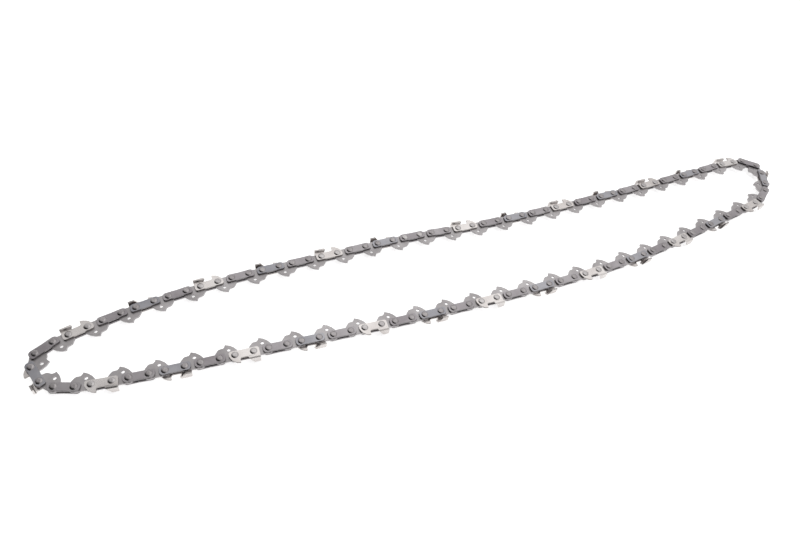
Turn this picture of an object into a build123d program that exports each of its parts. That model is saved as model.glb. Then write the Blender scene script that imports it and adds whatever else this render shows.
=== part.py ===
from build123d import *
import math
import os

# Saw chain loop, 3/8 inch low profile for a 1.3 mm bar groove, lying on its side.
# Millimetres. X runs along the loop and Z along the rivets. Seen from +Z the chain travels clockwise,
# so in a link's own frame x is the way of travel and y points out of the loop.

# The chain: a link is two side plates on their rivets and the drive link ahead of them
LINKS = 57
PLATE_PITCH = 10.5
DRIVE_PITCH = 8.55
DRIVE_THICKNESS = 1.3
PLATE_THICKNESS = 1.15

# Rivets and holes: a loop has 114 rivets, so each is a few flat faces round
RIVET_RADIUS = 2.2
BORE_PLAY = 0.06
ROUND_FACES = 5

# Side plates
PLATE_END_RADIUS = 3.4
PLATE_END_FACES = 3

# Drive links: a lobe on each rivet and a tang, which runs in the bar's groove
LOBE_RADIUS = 3.5
LOBE_FACES = 2
LOBE_TOP_ANGLE = 50
REAR_LOBE_END = 205
FRONT_LOBE_START = -45
TANG_BACK_X = -1.6
TANG_BACK_DEPTH = 4.3
TANG_HEEL_X = 1.4
TANG_HEEL_DEPTH = 6.9
TANG_TIP_X = 4.2
TANG_DEPTH = 8.2
NOTCH_X = 5.1
NOTCH_DEPTH = 6.6
SHOULDER_X = 7.8
SHOULDER_DEPTH = 5.8
OIL_HOLE_RADIUS = 1.15
OIL_HOLE_X = 3.0
OIL_HOLE_DEPTH = 4.7

# Cutters: a tooth over the trailing rivet and a depth gauge over the leading one
KERF_WIDTH = 6.6
TOOTH_BACK_X = -2.4
TOOTH_FRONT_X = 3.8
TOOTH_HEIGHT = 5.9
TOOTH_ROOT = 2.0
BEND_START = 2.9
BEND_END = 3.9
TOP_PLATE_THICKNESS = 1.0
TOP_PLATE_OVERHANG = 1.6
FILING_ANGLE = 30
GULLET_HEIGHT = 2.6
GAUGE_BACK_X = 8.0
GAUGE_TIP_X = 8.4
GAUGE_HEIGHT = 5.5
GAUGE_FRONT_X = 11.8
GAUGE_FRONT_HEIGHT = 4.1
GAUGE_NOSE_ANGLE = 30

# The order of the links, which the joining link closes, and the line that they lie along, seen from above
ORDER = ["tie_strap_link", "right_cutter_link", "tie_strap_link", "left_cutter_link"]
CLOSING_LINK = "joining_link"
LAY = [
    (-12, 26.5), (100, 23), (215, 25.5), (248, 25.5), (260, 22), (254, -4),
    (222, -17.5), (120, -32.5), (40, -35), (-60, -31.5), (-150, -25.5), (-230, -19.5),
    (-257, -8), (-259, 6), (-242, 15), (-200, 23.5), (-120, 28.5), (-66, 28),
]
LAY_STEPS = 4000
LEAST_GROWTH = 0.5
MOST_GROWTH = 2.0
CLOSING_STEPS = 60

PLATE_INSIDE = DRIVE_THICKNESS / 2
PLATE_OUTSIDE = PLATE_INSIDE + PLATE_THICKNESS
HALF_KERF = KERF_WIDTH / 2
BORE_RADIUS = (RIVET_RADIUS + BORE_PLAY) / math.cos(math.pi / ROUND_FACES)


def round_points(centre_x, radius, start, end, faces):
    """Points round a rivet, from one angle to another, with straight faces between them."""
    angles = [math.radians(start + (end - start) * k / faces) for k in range(faces + 1)]
    return [(centre_x + radius * math.cos(a), radius * math.sin(a)) for a in angles]


def plate(outline, low, high):
    """A flat plate of this outline, from one height to another."""
    return Pos(0, 0, low) * extrude(make_face(Polyline(*outline, close=True)), high - low)


def bar(radius, half_length):
    """A prism round the Z axis, as long above the XY plane as below."""
    return extrude(RegularPolygon(radius, ROUND_FACES), half_length, both=True)


def drive_link():
    """The drive link from its trailing rivet at the origin, bored for the leading one."""
    outline = (
        round_points(DRIVE_PITCH, LOBE_RADIUS, FRONT_LOBE_START, LOBE_TOP_ANGLE, LOBE_FACES)
        + round_points(0, LOBE_RADIUS, 180 - LOBE_TOP_ANGLE, REAR_LOBE_END, LOBE_FACES)
        + [
            (TANG_BACK_X, -TANG_BACK_DEPTH),
            (TANG_HEEL_X, -TANG_HEEL_DEPTH),
            (TANG_TIP_X, -TANG_DEPTH),
            (NOTCH_X, -NOTCH_DEPTH),
            (SHOULDER_X, -SHOULDER_DEPTH),
        ]
    )
    link = plate(outline, -DRIVE_THICKNESS / 2, DRIVE_THICKNESS / 2)
    link -= Pos(DRIVE_PITCH, 0, 0) * bar(BORE_RADIUS, DRIVE_THICKNESS)
    return link - Pos(OIL_HOLE_X, -OIL_HOLE_DEPTH, 0) * bar(OIL_HOLE_RADIUS, DRIVE_THICKNESS)


def tie_strap():
    """A plain side plate over the drive link, with round ends on its two rivets."""
    outline = round_points(0, PLATE_END_RADIUS, 90, 270, PLATE_END_FACES)
    outline += round_points(PLATE_PITCH, PLATE_END_RADIUS, -90, 90, PLATE_END_FACES)
    return plate(outline, PLATE_INSIDE, PLATE_OUTSIDE)


def tooth():
    """The bent tooth: out to the kerf line, over the chain, and filed at an angle across its front."""
    top_inside = TOOTH_HEIGHT - TOP_PLATE_THICKNESS
    bent_inside = HALF_KERF - PLATE_THICKNESS
    section = [
        (TOOTH_ROOT, PLATE_INSIDE),
        (BEND_START, PLATE_INSIDE),
        (BEND_END, bent_inside),
        (top_inside, bent_inside),
        (top_inside, -TOP_PLATE_OVERHANG),
        (TOOTH_HEIGHT, -TOP_PLATE_OVERHANG),
        (TOOTH_HEIGHT, HALF_KERF),
        (BEND_END, HALF_KERF),
        (BEND_START, PLATE_OUTSIDE),
        (TOOTH_ROOT, PLATE_OUTSIDE),
    ]
    face = make_face(Polyline(*[(TOOTH_BACK_X, y, z) for y, z in section], close=True))
    blank = extrude(face, TOOTH_FRONT_X - TOOTH_BACK_X, dir=(1, 0, 0))
    slant = math.radians(FILING_ANGLE)
    filed = Plane(origin=(TOOTH_FRONT_X, 0, HALF_KERF), z_dir=(math.cos(slant), 0, -math.sin(slant)))
    return split(blank, bisect_by=filed, keep=Keep.BOTTOM)


def cutter():
    """A side plate with the depth gauge in front, the gullet behind it, and the tooth."""
    outline = (
        round_points(0, PLATE_END_RADIUS, 90, 270, PLATE_END_FACES)
        + round_points(PLATE_PITCH, PLATE_END_RADIUS, -90, GAUGE_NOSE_ANGLE, PLATE_END_FACES - 1)
        + [
            (GAUGE_FRONT_X, GAUGE_FRONT_HEIGHT),
            (GAUGE_TIP_X, GAUGE_HEIGHT),
            (GAUGE_BACK_X, GULLET_HEIGHT),
            (TOOTH_FRONT_X, GULLET_HEIGHT),
        ]
    )
    return plate(outline, PLATE_INSIDE, PLATE_OUTSIDE) + tooth()


def under(piece):
    """The same piece on the lower side of the chain."""
    return mirror(piece, about=Plane.XY)


def riveted_pair(upper, lower):
    """Two side plates on their trailing rivet, which carries the drive link of the link behind."""
    return upper + lower + bar(RIVET_RADIUS, PLATE_OUTSIDE)


def rivet_row(line, growth):
    """Rivets stepped along a closed line, as complex numbers, and how many turns of it they take."""
    place, row, at = line[0], [], 0
    for n in range(2 * LINKS):
        row.append(place)
        reach = growth * (DRIVE_PITCH if n % 2 else PLATE_PITCH)
        while abs(line[(at + 1) % len(line)] - place) < reach:
            at += 1
        low, high = line[at % len(line)], line[(at + 1) % len(line)]
        share = (reach - abs(low - place)) / (abs(high - place) - abs(low - place))
        step = low + share * (high - low) - place
        place += step * reach / abs(step)
    return row, (at + share) / len(line)


def closed_row():
    """The rivets of a loop that closes: the last drive link ends on the first rivet."""
    spline = Spline(*LAY, periodic=True)
    line = [complex(p.X, p.Y) for p in spline.positions([k / LAY_STEPS for k in range(LAY_STEPS)])]
    low, high = LEAST_GROWTH, MOST_GROWTH
    for _ in range(CLOSING_STEPS):
        growth = (low + high) / 2
        row, turns = rivet_row(line, growth)
        low, high = (growth, high) if turns < 1 else (low, growth)
    return [place / growth for place in row]


def at_rivet(place, towards):
    """The frame of a piece that starts on one rivet and points at another."""
    turn = math.degrees(math.atan2((towards - place).imag, (towards - place).real))
    return Pos(place.real, place.imag, 0) * Rot(0, 0, turn)


strap, blade = tie_strap(), cutter()
PAIRS = {
    "tie_strap_link": riveted_pair(strap, under(strap)),
    "right_cutter_link": riveted_pair(blade, under(strap)),
    "left_cutter_link": riveted_pair(strap, under(blade)),
    CLOSING_LINK: riveted_pair(strap, under(strap)),
}
driver = drive_link()
rivets = closed_row()

links, count = {}, {}
for n in range(LINKS):
    kind = ORDER[n % len(ORDER)] if n < LINKS - 1 else CLOSING_LINK
    count[kind] = count.get(kind, 0) + 1
    name = f"{kind}_{count[kind]:02d}" if kind != CLOSING_LINK else kind
    trailing, leading, ahead = (rivets[(2 * n + k) % len(rivets)] for k in range(3))
    links[name] = at_rivet(trailing, leading) * PAIRS[kind] + at_rivet(leading, ahead) * driver

box = Compound(list(links.values())).bounding_box()
stand = Pos(-box.center().X, -box.center().Y, -box.min.Z)

os.makedirs("parts", exist_ok=True)
for n, (name, link) in enumerate(links.items()):
    hinge = stand * Pos(rivets[2 * n].real, rivets[2 * n].imag, 0)
    export_step(stand * link, f"parts/{name}.step")
    print(f"{name} turns on the rivet at {hinge.position.X:.6f} {hinge.position.Y:.6f}")
print(f"loop {box.size.X:.1f} x {box.size.Y:.1f} x {box.size.Z:.2f} mm")
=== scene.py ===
# %% [markdown]
# # A saw chain loop
#
# A saw chain is a closed row of small steel plates on rivets. Drive links with pointed tangs run in
# the groove of the guide bar. Between them sit pairs of side plates: plain tie straps, and cutters with a
# bent, filed tooth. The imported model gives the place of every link, and this lesson models each kind
# of plate once, as it leaves the press, and then rivets the whole loop together from copies.

# %% Load the frame
from math import atan2, cos, degrees, radians, sin
import bpy
from mathutils import Matrix, Vector


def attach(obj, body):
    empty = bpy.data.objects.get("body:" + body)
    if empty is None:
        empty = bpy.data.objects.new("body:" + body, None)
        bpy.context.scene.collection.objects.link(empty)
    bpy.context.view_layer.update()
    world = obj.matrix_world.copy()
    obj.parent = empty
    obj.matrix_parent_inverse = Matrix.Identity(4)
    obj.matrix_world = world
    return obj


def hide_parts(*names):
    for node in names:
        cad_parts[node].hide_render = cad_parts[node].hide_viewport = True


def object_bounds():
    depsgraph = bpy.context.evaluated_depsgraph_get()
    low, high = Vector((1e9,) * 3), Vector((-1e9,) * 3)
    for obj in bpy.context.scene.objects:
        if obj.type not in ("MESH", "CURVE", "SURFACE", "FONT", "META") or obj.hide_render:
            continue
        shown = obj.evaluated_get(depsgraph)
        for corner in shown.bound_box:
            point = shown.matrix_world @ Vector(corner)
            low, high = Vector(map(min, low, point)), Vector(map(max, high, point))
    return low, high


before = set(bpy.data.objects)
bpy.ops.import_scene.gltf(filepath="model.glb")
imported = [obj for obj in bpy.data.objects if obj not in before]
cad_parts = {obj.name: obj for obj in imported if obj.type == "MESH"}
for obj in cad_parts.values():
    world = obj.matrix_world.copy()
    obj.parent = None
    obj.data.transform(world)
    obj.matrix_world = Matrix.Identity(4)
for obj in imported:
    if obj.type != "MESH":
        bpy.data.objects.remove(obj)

MM = 0.001
solid_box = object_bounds()


def in_mm(box):
    """The corners of a box, rounded, in millimetres."""
    return [[round(c / MM, 2) for c in corner] for corner in box]


print("box of the solids in mm:", in_mm(solid_box))

# %% [markdown]
# ## The order of the links
#
# Plain links and cutters take turns, and the cutters are right-hand and left-hand by turns. An odd number of
# links can't keep that order all round, so one more plain link joins the ends.

# %% Name the links in their order
ORDER = ("tie_strap_link", "right_cutter_link", "tie_strap_link", "left_cutter_link")
CLOSING_LINK = "joining_link"

count = {}
links = []
for n in range(len(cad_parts) - 1):
    kind = ORDER[n % len(ORDER)]
    count[kind] = count.get(kind, 0) + 1
    links.append(f"{kind}_{count[kind]:02d}")
links.append(CLOSING_LINK)
print(len(links), "links:", count, "and", CLOSING_LINK)

# %% [markdown]
# ## Where the links lie
#
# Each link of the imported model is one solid: two side plates, their rivets and the drive link ahead. It has
# at least one plain strap, whose flat outer face has eight corners, evenly placed about the two rivets.
# So the mean of the corners is half way between the rivets, and the line from the hind four to the front
# four is the line that joins them. Reading the places off the solids keeps the visual model on the frame.

# %% Find the rivets of every link
PLATE_PITCH, DRIVE_PITCH = 10.5, 8.55
DRIVE_THICKNESS, PLATE_THICKNESS = 1.3, 1.15
PLATE_INSIDE = DRIVE_THICKNESS / 2
PLATE_OUTSIDE = PLATE_INSIDE + PLATE_THICKNESS
MID = (solid_box[0].z + solid_box[1].z) / 2
NEAR = 0.02
CORNER_DIGITS = 7


def strap_corners(link):
    """The corners of the plain strap's outer face, as complex numbers in metres."""
    side = -1 if link.startswith("right") else 1
    level = MID + side * PLATE_OUTSIDE * MM
    points = [v.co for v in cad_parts[link].data.vertices if abs(v.co.z - level) < NEAR * MM]
    return list({complex(round(p.x, CORNER_DIGITS), round(p.y, CORNER_DIGITS)) for p in points})


def middle(points):
    """The mean of some points."""
    return sum(points) / len(points)


corners = [strap_corners(link) for link in links]
centres = [middle(c) for c in corners]
trailing, leading = [], []
for n, points in enumerate(corners):
    ahead = centres[(n + 1) % len(links)] - centres[n]
    points = sorted(points, key=lambda p: ((p - centres[n]) * ahead.conjugate()).real)
    hind = len(points) // 2
    along = middle(points[hind:]) - middle(points[:hind])
    half_pitch = PLATE_PITCH / 2 * MM * along / abs(along)
    trailing.append(centres[n] - half_pitch)
    leading.append(centres[n] + half_pitch)
following = trailing[1:] + trailing[:1]
reach = [abs(a - b) / MM for a, b in zip(leading, following)]
print("corners of a strap:", {len(c) for c in corners})
print("drive pitch:", min(reach), "to", max(reach), "mm")

# %% [markdown]
# ## Drawing a plate as the press cuts it
#
# The plates are punched from strip, so each is a flat outline with a thickness. A plane squeezed to
# one point makes a pen: extruding the point draws a straight edge, and spinning it about a centre draws
# a round one. Filling the closed line and extruding the face gives the plate. A bitmap tracing or a
# cylinder with bits cut off could give the shape too, but the pen keeps true arcs that meet smoothly.

# %% A pen for outlines
ARC_STEP, FEWEST_STEPS = 15, 2


def deselect():
    bpy.ops.object.select_all(action="DESELECT")


def draw(name, start, strokes, low, high):
    """Draws a closed outline, then gives it a thickness. A stroke of two numbers is a straight edge to a
    point. A stroke of three is an arc about a centre, by an angle that is positive anticlockwise."""
    deselect()
    bpy.ops.mesh.primitive_plane_add(size=MM)
    piece = bpy.context.object
    piece.name = piece.data.name = name
    bpy.ops.object.mode_set(mode="EDIT")
    bpy.ops.mesh.select_all(action="SELECT")
    bpy.ops.mesh.merge(type="CENTER")
    bpy.ops.transform.translate(value=(start[0] * MM, start[1] * MM, low * MM))
    at = complex(*start)
    for stroke in strokes:
        if len(stroke) == 2:
            step = (complex(*stroke) - at) * MM
            bpy.ops.mesh.extrude_region_move(TRANSFORM_OT_translate={"value": (step.real, step.imag, 0)})
            at = complex(*stroke)
        else:
            x, y, turn = stroke
            # Spin turns clockwise about its axis, so the axis points down
            bpy.ops.mesh.spin(
                steps=max(FEWEST_STEPS, round(abs(turn) / ARC_STEP)), angle=radians(turn),
                center=(x * MM, y * MM, low * MM), axis=(0, 0, -1))
            at = complex(x, y) + (at - complex(x, y)) * complex(cos(radians(turn)), sin(radians(turn)))
    bpy.ops.mesh.select_all(action="SELECT")
    bpy.ops.mesh.remove_doubles(threshold=NEAR * MM)
    bpy.ops.mesh.edge_face_add()
    bpy.ops.mesh.extrude_region_move(TRANSFORM_OT_translate={"value": (0, 0, (high - low) * MM)})
    bpy.ops.mesh.select_all(action="SELECT")
    bpy.ops.mesh.normals_make_consistent(inside=False)
    bpy.ops.object.mode_set(mode="OBJECT")
    return piece


def describe(piece):
    """Prints the size of a piece and the number of its faces."""
    size = [round(d / MM, 2) for d in piece.dimensions]
    print(piece.name, "is", size, "mm, with", len(piece.data.polygons), "faces")


# %% [markdown]
# ## Arcs from points
#
# It is easier to say which points a curve passes than where its centre lies. Two short sums give the
# pen its arcs: one through three points, and one that hollows the side between two round ends.

# %% Work out arcs
def angle_of(step):
    """The direction of a complex number, in degrees."""
    return degrees(atan2(step.imag, step.real))


def waist(spacing, radius, depth):
    """The arc that hollows the side between two round ends.

    Gives its radius, and the angle at which an end meets it."""
    half = spacing / 2
    hollow = (half ** 2 + depth ** 2 - radius ** 2) / (2 * (radius - depth))
    return hollow, angle_of(complex(half, depth + hollow))


def arc_through(a, b, c):
    """The stroke of an arc from one point through a second to a third."""
    a, b, c = complex(*a), complex(*b), complex(*c)
    w = (c - a) / (b - a)
    centre = a + (b - a) * (w - abs(w) ** 2) / (2j * w.imag)
    turn = angle_of((c - centre) / (a - centre))
    part = angle_of((b - centre) / (a - centre))
    if turn * part < 0 or abs(part) > abs(turn):
        turn -= 360 if turn > 0 else -360
    return centre.real, centre.imag, turn


# %% [markdown]
# ## Broken rims and holes
#
# A press leaves a plate with square rims, and the plates are then tumbled in a drum until the rims are
# slightly round. A Bevel modifier with an angle limit does the same. Holes are cut after the bevel, with a
# cylinder and a Boolean modifier. Their rims stay sharp, because rivets fill all of them but the oil hole.

# %% Break rims and drill holes
RIM, RIM_SEGMENTS, RIM_ANGLE = 0.14, 2, 45
HOLE_SIDES = 12
DRILL_LENGTH = 20


def pick(piece):
    """Makes a piece the only one selected."""
    deselect()
    piece.select_set(True)
    bpy.context.view_layer.objects.active = piece


def apply_modifier(piece, kind, **settings):
    pick(piece)
    modifier = piece.modifiers.new(kind.title(), kind)
    for key, value in settings.items():
        setattr(modifier, key, value)
    bpy.ops.object.modifier_apply(modifier=modifier.name)


def break_rims(piece, width=RIM):
    apply_modifier(
        piece, "BEVEL", width=width * MM, segments=RIM_SEGMENTS, limit_method="ANGLE",
        angle_limit=radians(RIM_ANGLE), loop_slide=False)


def combine(piece, tool, operation):
    """Adds a second solid to a piece, or cuts it away, and removes it."""
    apply_modifier(piece, "BOOLEAN", object=tool, operation=operation, solver="EXACT")
    bpy.data.objects.remove(tool)


def drill(piece, x, y, radius):
    deselect()
    bpy.ops.mesh.primitive_cylinder_add(
        vertices=HOLE_SIDES, radius=radius * MM, depth=DRILL_LENGTH * MM, location=(x * MM, y * MM, 0))
    drill_bit = bpy.context.object
    bpy.ops.object.transform_apply(location=True)
    combine(piece, drill_bit, "DIFFERENCE")


# %% [markdown]
# ## Faces and sheared sides
#
# The sides that the press sheared have a finish of their own, darker than the faces on straps and cutters, so
# they get a second material slot. On the straps the darker tint is painted shade for the shade along their
# sides.
# Small faces are facets of a round and are shaded smooth. Large and level ones stay flat, because smooth
# shading would bend the light on them.

# %% Sort the faces of a piece
SMOOTH_ANGLE = 35
LARGEST_ROUNDED = 1.3
# Limits for the part of a face's normal that lies along the rivets
SIDEWAYS, SQUARE_ON, LEVEL = 0.5, 0.9, 0.999


def finish_faces(piece, sides_apart=True):
    """Shades the piece and puts its sheared sides, if it has any, in the second material slot."""
    pick(piece)
    bpy.ops.object.shade_smooth_by_angle(angle=radians(SMOOTH_ANGLE))
    piece.data.materials.clear()
    piece.data.materials.append(None)
    piece.data.materials.append(None)
    for face in piece.data.polygons:
        face.material_index = int(sides_apart and abs(face.normal.z) < SIDEWAYS)
        face.use_smooth = face.area < LARGEST_ROUNDED * MM ** 2 and abs(face.normal.z) < LEVEL


# %% [markdown]
# ## Tie strap
#
# The plain side plate. Its lower edge runs on the rail of the guide bar, so it is straight, with short round
# corners. On the side of the wood the ends are rounder and the edge is a little hollow. A capsule about the
# two rivets would be simpler to draw, but a chain of capsules has scalloped sides, and these are straight.

# %% Model the tie strap
END = 3.3
BAR_SIDE, WOOD_SIDE, WOOD_WAIST = 2.55, 2.75, 2.55
BAR_CORNER, WOOD_CORNER = 1.3, 2.3
RIVET_HOLE = 1.6

PLATE_END = PLATE_PITCH + END
BAR_EDGE = [
    (BAR_CORNER - END, BAR_CORNER - BAR_SIDE, 90),
    (PLATE_END - BAR_CORNER, -BAR_SIDE),
    (PLATE_END - BAR_CORNER, BAR_CORNER - BAR_SIDE, 90),
]
rear_top, front_top = (WOOD_CORNER - END, WOOD_SIDE), (PLATE_END - WOOD_CORNER, WOOD_SIDE)
strap = draw(
    "tie_strap",
    rear_top,
    [
        (WOOD_CORNER - END, WOOD_SIDE - WOOD_CORNER, 90),
        (-END, BAR_CORNER - BAR_SIDE),
        *BAR_EDGE,
        (PLATE_END, WOOD_SIDE - WOOD_CORNER),
        (PLATE_END - WOOD_CORNER, WOOD_SIDE - WOOD_CORNER, 90),
        arc_through(front_top, (PLATE_PITCH / 2, WOOD_WAIST), rear_top),
    ],
    PLATE_INSIDE, PLATE_OUTSIDE)
break_rims(strap)
for x in (0, PLATE_PITCH):
    drill(strap, x, 0, RIVET_HOLE)
finish_faces(strap)
describe(strap)

# %% [markdown]
# ## Drive link
#
# The middle plate. Two lobes carry the rivets, and the tang below them runs in the groove of the bar. Its
# hind edge is one long curve, and its tip is a horn that scoops oil along the groove. In front of the horn's
# notch stands a broad shoulder. A small hole through the tang carries oil too. All of it is one outline for
# the pen.

# %% Model the drive link
LOBE_RADIUS = 3.0
SADDLE = 2.5
FRONT_LOBE_START, REAR_LOBE_END = -15, 200
HIND_EDGE, TANG_TIP = (-0.5, -5.42), (4.3, -8.45)
HORN_END, HORN_FRONT, NOTCH = (4.5, -8.35), (5.0, -7.2), (5.8, -6.4)
SHOULDER_FRONT, SHOULDER_BEND, SHOULDER_END = (7.8, -6.25), (8.65, -5.9), (9.2, -5.3)
FRONT_EDGE = (10.5, -3.75)
BEARING = 2.26
OIL_HOLE = (2.85, -4.7, 1.05)


def on_lobe(x, angle):
    """The point at an angle on the rim of the lobe whose rivet is at x."""
    return x + LOBE_RADIUS * cos(radians(angle)), LOBE_RADIUS * sin(radians(angle))


saddle_hollow, saddle_meet = waist(DRIVE_PITCH, LOBE_RADIUS, SADDLE)
lobe_start, lobe_end = on_lobe(DRIVE_PITCH, FRONT_LOBE_START), on_lobe(0, REAR_LOBE_END)
drive_link = draw(
    "drive_link",
    lobe_start,
    [
        (DRIVE_PITCH, 0, 180 - saddle_meet - FRONT_LOBE_START),
        (DRIVE_PITCH / 2, SADDLE + saddle_hollow, -2 * (90 - saddle_meet)),
        (0, 0, REAR_LOBE_END - saddle_meet),
        arc_through(lobe_end, HIND_EDGE, TANG_TIP),
        HORN_END,
        arc_through(HORN_END, HORN_FRONT, NOTCH),
        SHOULDER_FRONT,
        arc_through(SHOULDER_FRONT, SHOULDER_BEND, SHOULDER_END),
        arc_through(SHOULDER_END, FRONT_EDGE, lobe_start),
    ],
    -PLATE_INSIDE, PLATE_INSIDE)
break_rims(drive_link)
for x in (0, DRIVE_PITCH):
    drill(drive_link, x, 0, BEARING)
drill(drive_link, *OIL_HOLE)
finish_faces(drive_link)
describe(drive_link)

# %% [markdown]
# ## Cutter: the side plate
#
# A cutter starts as a side plate with more metal on its outer side. In front stands the depth gauge, a
# fin that keeps the tooth from biting too deep. Behind it the gullet is cut down to clear the file and
# the chips. The gauge's nose is drawn as one arc, so that it glides, and its back drops straight down to
# the gullet.

# %% Model the cutter's side plate
GAUGE_NOSE, GAUGE_BULGE = (PLATE_END, 0.3), (12.0, 3.5)
GAUGE_TIP, GAUGE_BROW, GAUGE_BACK = (8.3, 5.4), (8.0, 5.32), (7.85, 5.05)
GULLET_HEIGHT, GULLET_RADIUS = 2.45, 1.1
TOOTH_BACK, TOOTH_FRONT = -3.3, 3.6

gullet_side = (GAUGE_BACK[0], GULLET_HEIGHT + GULLET_RADIUS)
cutter = draw(
    "cutter",
    (TOOTH_BACK, GULLET_HEIGHT),
    [
        (-END, BAR_CORNER - BAR_SIDE),
        *BAR_EDGE,
        GAUGE_NOSE,
        arc_through(GAUGE_NOSE, GAUGE_BULGE, GAUGE_TIP),
        arc_through(GAUGE_TIP, GAUGE_BROW, GAUGE_BACK),
        gullet_side,
        (gullet_side[0] - GULLET_RADIUS, gullet_side[1], -90),
        (TOOTH_FRONT, GULLET_HEIGHT),
    ],
    PLATE_INSIDE, PLATE_OUTSIDE)
describe(cutter)

# %% [markdown]
# ## Cutter: the bent tooth
#
# The tooth is bent out of the plate to the width of the cut, and then back over the chain as a top plate.
# Its cross-section is the same all along, so the section is drawn once, with round bends, and extruded for
# the length of the tooth. Bending a flat blank with a modifier is possible, but the bend radii would be
# less sure.

# %% Draw and extrude the tooth's section
HALF_KERF = 3.3
TOOTH_HEIGHT, TOOTH_ROOT = 6.1, 2.0
TOP_PLATE, OVERHANG = 1.0, 1.6
BEND_START, BEND_END, BEND_LAG = 3.5, 4.0, 0.5
OUTER_BEND, INNER_BEND = 1.3, 0.4

kerf_inside = HALF_KERF - PLATE_THICKNESS
tooth = draw(
    "tooth",
    (-PLATE_INSIDE, TOOTH_ROOT),
    [
        (-PLATE_INSIDE, BEND_START + BEND_LAG),
        (-kerf_inside, BEND_END + BEND_LAG),
        (-kerf_inside, TOOTH_HEIGHT - TOP_PLATE - INNER_BEND),
        (-kerf_inside + INNER_BEND, TOOTH_HEIGHT - TOP_PLATE - INNER_BEND, -90),
        (OVERHANG, TOOTH_HEIGHT - TOP_PLATE),
        (OVERHANG, TOOTH_HEIGHT),
        (-HALF_KERF + OUTER_BEND, TOOTH_HEIGHT),
        (-HALF_KERF + OUTER_BEND, TOOTH_HEIGHT - OUTER_BEND, 90),
        (-HALF_KERF, BEND_END),
        (-PLATE_OUTSIDE, BEND_START),
        (-PLATE_OUTSIDE, TOOTH_ROOT),
    ],
    TOOTH_BACK, TOOTH_FRONT)
tooth.rotation_euler = (0, radians(90), 0)
bpy.ops.object.transform_apply(rotation=True)
describe(tooth)

# %% [markdown]
# ## Cutter: filing the edge
#
# A file ground the front of the tooth at thirty degrees across the chain, and because a saw file is round it
# left a hollow under the cutting edge. A bisect takes the slant off in one cut. The top plate and the filed
# front are then drawn down and in together, which keeps the tooth inside the box of the solids at the ends
# of the loop. Last, a cylinder as thick as the file hollows the front.

# %% File the front of the tooth
FILING_ANGLE = 30
FILE_RADIUS, FILE_SIDES, FILE_LENGTH = 2.0, 32, 30
FILE_CENTRE_DROP, FILE_CENTRE_AHEAD = 1.2, 1.6
FILED = 0.1
TOP_FROM = 4.1
DRAWN_IN = (0, -0.7, -0.12)

slant = radians(FILING_ANGLE)
out_of_front = Vector((cos(slant), 0, -sin(slant)))
edge = Vector((TOOTH_FRONT, TOOTH_HEIGHT, HALF_KERF)) * MM
bpy.ops.object.mode_set(mode="EDIT")
bpy.ops.mesh.select_mode(type="VERT")
bpy.ops.mesh.select_all(action="SELECT")
bpy.ops.mesh.bisect(
    plane_co=edge, plane_no=out_of_front, use_fill=True, clear_outer=True, threshold=FILED * MM)
bpy.ops.mesh.select_all(action="DESELECT")
bpy.ops.object.mode_set(mode="OBJECT")
for v in tooth.data.vertices:
    on_front = abs((v.co - edge).dot(out_of_front)) < FILED * MM
    v.select = on_front or v.co.y > TOP_FROM * MM
bpy.ops.object.mode_set(mode="EDIT")
bpy.ops.transform.translate(value=Vector(DRAWN_IN) * MM)
bpy.ops.object.mode_set(mode="OBJECT")

deselect()
file_centre = edge + out_of_front * FILE_CENTRE_AHEAD * MM - Vector((0, FILE_CENTRE_DROP * MM, 0))
bpy.ops.mesh.primitive_cylinder_add(
    vertices=FILE_SIDES, radius=FILE_RADIUS * MM, depth=FILE_LENGTH * MM,
    location=file_centre, rotation=(0, slant, 0))
round_file = bpy.context.object
bpy.ops.object.transform_apply(location=True, rotation=True)
combine(tooth, round_file, "DIFFERENCE")
describe(tooth)

# %% [markdown]
# ## Cutter: one piece of steel
#
# The real tooth and its plate are one piece, so a Boolean union joins them. The rims are broken less than a
# strap's, which keeps the edge keen. The tooth is bright all over, apart from its inside and the end of its
# top plate, which are as dull as the sheared sides.

# %% Join the tooth to its plate
CUTTER_RIM = 0.1
TOOTH_FROM, TOOTH_TO = 2.9, TOOTH_FRONT + 0.2

combine(cutter, tooth, "UNION")
break_rims(cutter, CUTTER_RIM)
for x in (0, PLATE_PITCH):
    drill(cutter, x, 0, RIVET_HOLE)
finish_faces(cutter)
for face in cutter.data.polygons:
    if face.center.y > TOOTH_FROM * MM and face.center.x < TOOTH_TO * MM:
        face.material_index = int(face.normal.z < -SQUARE_ON)
describe(cutter)

# %% [markdown]
# ## Rivet
#
# A rivet is a turned pin. Its hub, in the middle, is thicker, and the drive link turns on it. Its ends go
# through the side plates, and are spun over until they form low domed heads with a slight dish from the
# tool. A cylinder gives the hub, and extruding and scaling its end faces, ring by ring, gives the rest. Each
# ring is a rise and a radius. A loop has many rivets, so each has few faces.

# %% Model the rivet
HUB = 2.1
RINGS = (
    (0, RIVET_HOLE), (PLATE_THICKNESS, RIVET_HOLE),
    (0, 2.15), (0.18, 2.05), (0.3, 1.65), (0.12, 1.25), (-0.06, 0.35))

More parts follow.
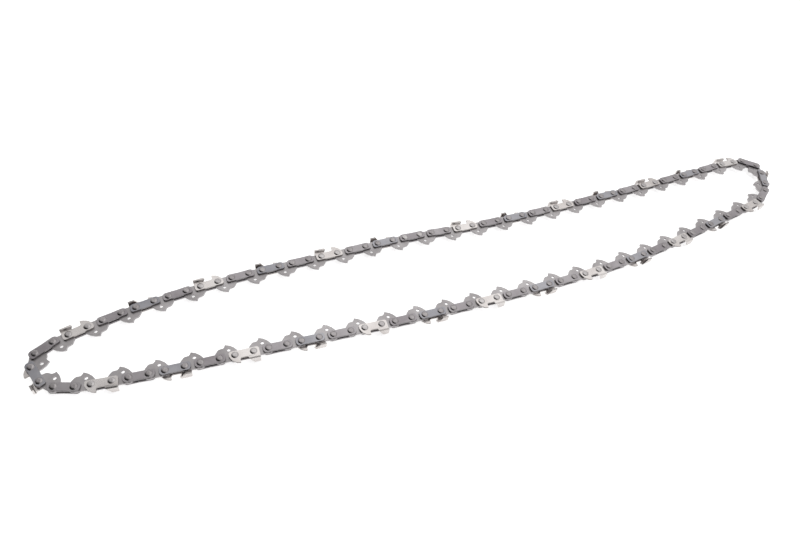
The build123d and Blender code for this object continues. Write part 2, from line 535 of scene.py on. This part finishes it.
deselect()
bpy.ops.mesh.primitive_cylinder_add(vertices=HOLE_SIDES, radius=HUB * MM, depth=2 * PLATE_INSIDE * MM)
rivet = bpy.context.object
rivet.name = rivet.data.name = "rivet"
for side in (1, -1):
    bpy.ops.object.mode_set(mode="EDIT")
    bpy.ops.mesh.select_mode(type="FACE")
    bpy.ops.mesh.select_all(action="DESELECT")
    bpy.ops.object.mode_set(mode="OBJECT")
    for face in rivet.data.polygons:
        face.select = face.normal.z * side > SQUARE_ON and face.center.z * side > 0
    bpy.ops.object.mode_set(mode="EDIT")
    radius = HUB
    for rise, ring in RINGS:
        bpy.ops.mesh.extrude_region_move(TRANSFORM_OT_translate={"value": (0, 0, side * rise * MM)})
        bpy.ops.transform.resize(value=(ring / radius, ring / radius, 1))
        radius = ring
    bpy.ops.object.mode_set(mode="OBJECT")
finish_faces(rivet, sides_apart=False)
describe(rivet)

# %% [markdown]
# ## Steel finishes
#
# Every finish here is bare or plated steel, so they share one set of nodes: cloudy patches from the heat
# treatment, fine grain from tumbling, and a slight bump. The patterns read Object coordinates in metres, so
# each plate has its own patch of them. What is the same all over, as metalness is, is set on the shader
# itself. A finish is its darker and lighter tint, and its roughest and smoothest patches.

# %% A recipe for steel
CLOUD_SCALE, CLOUD_DETAIL, CLOUD_ROUGHNESS = 45, 4, 0.6
GRAIN_SCALE, GRAIN_DETAIL, GRAIN_DEPTH = 2600, 2, 0.05
FACE_BUMP = 0.12
TINT_STOPS = (0.36, 0.64)


def steel(name, dark, light, rough, smooth, cloud=CLOUD_SCALE, bump=FACE_BUMP):
    finish = bpy.data.materials.new(name)
    finish.use_nodes = True
    nodes, wires = finish.node_tree.nodes, finish.node_tree.links
    shader = nodes["Principled BSDF"]
    shader.inputs["Metallic"].default_value = 1
    place = nodes.new("ShaderNodeTexCoord")
    clouds = nodes.new("ShaderNodeTexNoise")
    clouds.inputs["Scale"].default_value = cloud
    clouds.inputs["Detail"].default_value = CLOUD_DETAIL
    clouds.inputs["Roughness"].default_value = CLOUD_ROUGHNESS
    tint = nodes.new("ShaderNodeValToRGB")
    for stop, position, colour in zip(tint.color_ramp.elements, TINT_STOPS, (dark, light)):
        stop.position, stop.color = position, (*colour, 1)
    grains = nodes.new("ShaderNodeTexNoise")
    grains.inputs["Scale"].default_value = GRAIN_SCALE
    grains.inputs["Detail"].default_value = GRAIN_DETAIL
    gloss = nodes.new("ShaderNodeMapRange")
    gloss.inputs["To Min"].default_value, gloss.inputs["To Max"].default_value = smooth, rough
    relief = nodes.new("ShaderNodeBump")
    relief.inputs["Strength"].default_value = bump
    relief.inputs["Distance"].default_value = GRAIN_DEPTH * MM
    for start, end in (
        (place.outputs["Object"], clouds.inputs["Vector"]),
        (place.outputs["Object"], grains.inputs["Vector"]),
        (clouds.outputs["Fac"], tint.inputs["Fac"]),
        (tint.outputs["Color"], shader.inputs["Base Color"]),
        (grains.outputs["Fac"], gloss.inputs["Value"]),
        (gloss.outputs["Result"], shader.inputs["Roughness"]),
        (grains.outputs["Fac"], relief.inputs["Height"]),
        (relief.outputs["Normal"], shader.inputs["Normal"]),
    ):
        wires.new(start, end)
    return finish


# %% [markdown]
# ## The finishes of this chain
#
# Drive links are tumbled to a plain grey, straps keep the tints of their tempering, cutters are plated, and
# rivet heads are spun. The sheared sides have larger bumps and finer clouds, and on the straps they are
# darker, which is painted shade. Two tints and two roughnesses are enough to tell all of them apart.

# %% Build the finishes
RIVET_CLOUDS, SIDE_CLOUDS = 260, 900
SIDE_BUMP = 0.2

tumbled = steel("tumbled_drive_link_steel", (0.33, 0.312, 0.315), (0.45, 0.43, 0.433), 0.52, 0.34)
mauve = steel("tempered_strap_steel", (0.28, 0.258, 0.27), (0.39, 0.37, 0.38), 0.5, 0.32)
blued = steel("blued_strap_steel", (0.265, 0.262, 0.285), (0.38, 0.375, 0.395), 0.48, 0.3)
chrome = steel("satin_chrome", (0.52, 0.485, 0.47), (0.65, 0.62, 0.605), 0.36, 0.2)
spun = steel("spun_rivet_steel", (0.26, 0.242, 0.245), (0.36, 0.34, 0.342), 0.34, 0.22, RIVET_CLOUDS)
bright = steel("bright_rivet_steel", (0.37, 0.35, 0.35), (0.48, 0.46, 0.455), 0.34, 0.22, RIVET_CLOUDS)
sheared = steel(
    "sheared_side", (0.3, 0.285, 0.29), (0.44, 0.42, 0.425), 0.45, 0.28, SIDE_CLOUDS, SIDE_BUMP)
# The strap sides' dark tint is painted shade for the shade along the straps' sides and in the gaps between
# the plates.
painted_shade_strap_side = steel(
    "strap_side_painted_shade", (0.18, 0.17, 0.175), (0.28, 0.265, 0.27), 0.5, 0.32, SIDE_CLOUDS, SIDE_BUMP)
plated_side = steel(
    "plated_sheared_side", (0.27, 0.25, 0.245), (0.4, 0.38, 0.37), 0.42, 0.26, SIDE_CLOUDS, SIDE_BUMP)
print("finishes:", [m.name for m in bpy.data.materials if m.use_nodes])

# %% [markdown]
# ## Copies in their places
#
# Each kind of plate now exists once, in a link's own frame. A copy with its own mesh is moved into place by
# moving its mesh, so that every object stays at the origin and the steel's patterns fall differently on
# each. Plates of the lower side are the same shapes mirrored, with their faces turned out again.

# %% Copy a piece onto a link
def onto(place, towards, lower=False):
    """The move that sets a piece on one rivet, pointing at another, on the upper or the lower side."""
    turn = towards - place
    flip = Matrix.Diagonal((1, 1, -1 if lower else 1, 1))
    return (
        Matrix.Translation((place.real, place.imag, MID))
        @ Matrix.Rotation(atan2(turn.imag, turn.real), 4, "Z") @ flip)


def set_down(master, name, move, link, face, side):
    """A copy of a piece on its link, with the finishes of its faces and of its sides."""
    mesh = master.data.copy()
    mesh.name = name
    mesh.transform(move)
    if move.determinant() < 0:
        mesh.flip_normals()
    mesh.materials[0], mesh.materials[1] = face, side
    piece = bpy.data.objects.new(name, mesh)
    bpy.context.scene.collection.objects.link(piece)
    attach(piece, link)
    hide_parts(link)
    return piece


# %% [markdown]
# ## Riveting the loop together
#
# A link takes its drive link, an upper and a lower plate, and two rivets, which are joined as one piece. A
# right-hand cutter is an upper plate and a left-hand one a lower plate. Heat has turned the straps opposite
# left-hand cutters blue and the others mauve, and the heads on right-hand cutters and on the joining link
# are brighter.

# %% Build every link
made = []
for n, link in enumerate(links):
    rear, front, next_rear = trailing[n], leading[n], following[n]
    upper = cutter if link.startswith("right") else strap
    lower = cutter if link.startswith("left") else strap
    strap_finish = blued if link.startswith("left") else mauve
    head_finish = bright if link.startswith("right") or link == CLOSING_LINK else spun
    made.append(set_down(drive_link, f"{link}_drive_link", onto(front, next_rear), link, tumbled, sheared))
    for plate, under, word in ((upper, False, "upper"), (lower, True, "lower")):
        # Straps get the side finish whose dark tint is painted shade.
        made.append(set_down(
            plate, f"{link}_{word}_plate", onto(rear, front, under), link,
            chrome if plate is cutter else strap_finish, plated_side if plate is cutter else painted_shade_strap_side))
    pins = [
        set_down(rivet, f"{link}_rivet_{k}", onto(place, front), link, head_finish, sheared)
        for k, place in enumerate((rear, front))]
    pick(pins[0])
    pins[1].select_set(True)
    bpy.ops.object.join()
    pins[0].name = pins[0].data.name = f"{link}_rivets"
    made.append(pins[0])
for master in (strap, drive_link, cutter, rivet):
    bpy.data.objects.remove(master)
print(len(made), "pieces,", sum(len(p.data.polygons) for p in made), "faces")

# %% [markdown]
# ## White paper
#
# The chain lies on white paper, lit so brightly that the paper burns out. A plane far larger than the view
# does for it. It glows a little by itself, which keeps the shadows as faint as they are on a light table.

# %% Lay the paper
PAPER_SIZE, PAPER_DROP = 6, 0.02
PAPER_WHITE, PAPER_ROUGHNESS, PAPER_GLOW = (0.9, 0.9, 0.9, 1), 0.9, 0.7

deselect()
bpy.ops.mesh.primitive_plane_add(size=PAPER_SIZE, location=(0, 0, -PAPER_DROP * MM))
floor = bpy.context.object
floor.name = "floor"
paper = bpy.data.materials.new("white_paper")
paper.use_nodes = True
paper_shader = paper.node_tree.nodes["Principled BSDF"]
paper_shader.inputs["Base Color"].default_value = PAPER_WHITE
paper_shader.inputs["Roughness"].default_value = PAPER_ROUGHNESS
paper_shader.inputs["Specular IOR Level"].default_value = 0
paper_shader.inputs["Emission Color"].default_value = (1, 1, 1, 1)
paper_shader.inputs["Emission Strength"].default_value = PAPER_GLOW
floor.data.materials.append(paper)
print(floor.name, "of", paper.name)

# %% [markdown]
# ## Camera
#
# The camera stands close with a wide lens, so the near strand looks larger than the far one. It is rolled by
# a few degrees: that is what makes the loop rise to the right. A tracking constraint would keep it level, so
# its three axes are worked out from the two angles and the roll.

# %% Set up the camera
AZIMUTH, ELEVATION, ROLL = radians(28.85), radians(52.64), radians(9.64)
TARGET, DISTANCE = Vector((-42.6, 12.6, 0)) * MM, 431.2 * MM
SENSOR_WIDTH, LENS, CLIP_START = 36, 29.88, 0.01

forward = Vector((sin(AZIMUTH) * cos(ELEVATION), cos(AZIMUTH) * cos(ELEVATION), -sin(ELEVATION)))
level = Vector((cos(AZIMUTH), -sin(AZIMUTH), 0))
upright = level.cross(forward)
across = cos(ROLL) * level + sin(ROLL) * upright
upwards = cos(ROLL) * upright - sin(ROLL) * level
camera = bpy.data.objects.new("camera", bpy.data.cameras.new("camera"))
bpy.context.scene.collection.objects.link(camera)
camera.matrix_world = Matrix.Translation(TARGET - DISTANCE * forward) @ Matrix(
    (across, upwards, -forward)).transposed().to_4x4()
camera.data.sensor_fit = "HORIZONTAL"
camera.data.sensor_width, camera.data.lens = SENSOR_WIDTH, LENS
camera.data.clip_start = CLIP_START
bpy.context.scene.camera = camera
print("camera at", [round(c / MM) for c in camera.location], "mm")

# %% [markdown]
# ## The studio round it
#
# Bare steel shows what stands round it. Here that is white, apart from a dark room behind the camera and to
# one side, which the rivet heads mirror as the dark crescents that make them look round. How dark the world
# is comes from the angle to the middle of that room, with a soft border. What the camera sees directly
# stays white, which a Light Path node tells apart, so the backdrop is white from every side.

# %% Surround the chain with white and a dark room
ROOM_AZIMUTH, ROOM_ELEVATION = AZIMUTH + radians(40), radians(22)
ROOM_DARK, ROOM_LIGHT, ROOM_TINT = radians(42), radians(84), 0.03

world = bpy.data.worlds.new("studio")
bpy.context.scene.world = world
world.use_nodes = True
nodes, wires = world.node_tree.nodes, world.node_tree.links
direction = nodes.new("ShaderNodeTexCoord")
towards_room = nodes.new("ShaderNodeVectorMath")
towards_room.operation = "DOT_PRODUCT"
towards_room.inputs[1].default_value = (
    -sin(ROOM_AZIMUTH) * cos(ROOM_ELEVATION), -cos(ROOM_AZIMUTH) * cos(ROOM_ELEVATION), sin(ROOM_ELEVATION))
shade = nodes.new("ShaderNodeMapRange")
shade.interpolation_type = "SMOOTHSTEP"
shade.inputs["From Min"].default_value = cos(ROOM_LIGHT)
shade.inputs["From Max"].default_value = cos(ROOM_DARK)
shade.inputs["To Min"].default_value, shade.inputs["To Max"].default_value = 1, ROOM_TINT
ray = nodes.new("ShaderNodeLightPath")
backdrop = nodes.new("ShaderNodeMath")
backdrop.operation = "MAXIMUM"
for start, end in (
    (direction.outputs["Generated"], towards_room.inputs[0]),
    (towards_room.outputs["Value"], shade.inputs["Value"]),
    (shade.outputs["Result"], backdrop.inputs[0]),
    (ray.outputs["Is Camera Ray"], backdrop.inputs[1]),
    (backdrop.outputs["Value"], nodes["Background"].inputs["Color"]),
):
    wires.new(start, end)
print("world:", world.name)

# %% [markdown]
# ## Softbox
#
# One large soft light stands high over the loop, a little behind it and to its right, and adds a gentle
# shine to the faces that look up. The Standard view transform keeps white paper white.

# %% Hang the softbox
SOFTBOX_PLACE, SOFTBOX_TILT = (0.3, 0.3, 1.2), radians(14)
SOFTBOX_SIZE, SOFTBOX_POWER = 1.2, 2

bpy.ops.object.light_add(type="AREA", location=SOFTBOX_PLACE, rotation=(-SOFTBOX_TILT, SOFTBOX_TILT, 0))
softbox = bpy.context.object
softbox.name = softbox.data.name = "softbox"
softbox.data.size = SOFTBOX_SIZE
softbox.data.energy = SOFTBOX_POWER
bpy.context.scene.view_settings.view_transform = "Standard"
print(softbox.name, "at", SOFTBOX_PLACE, "m")
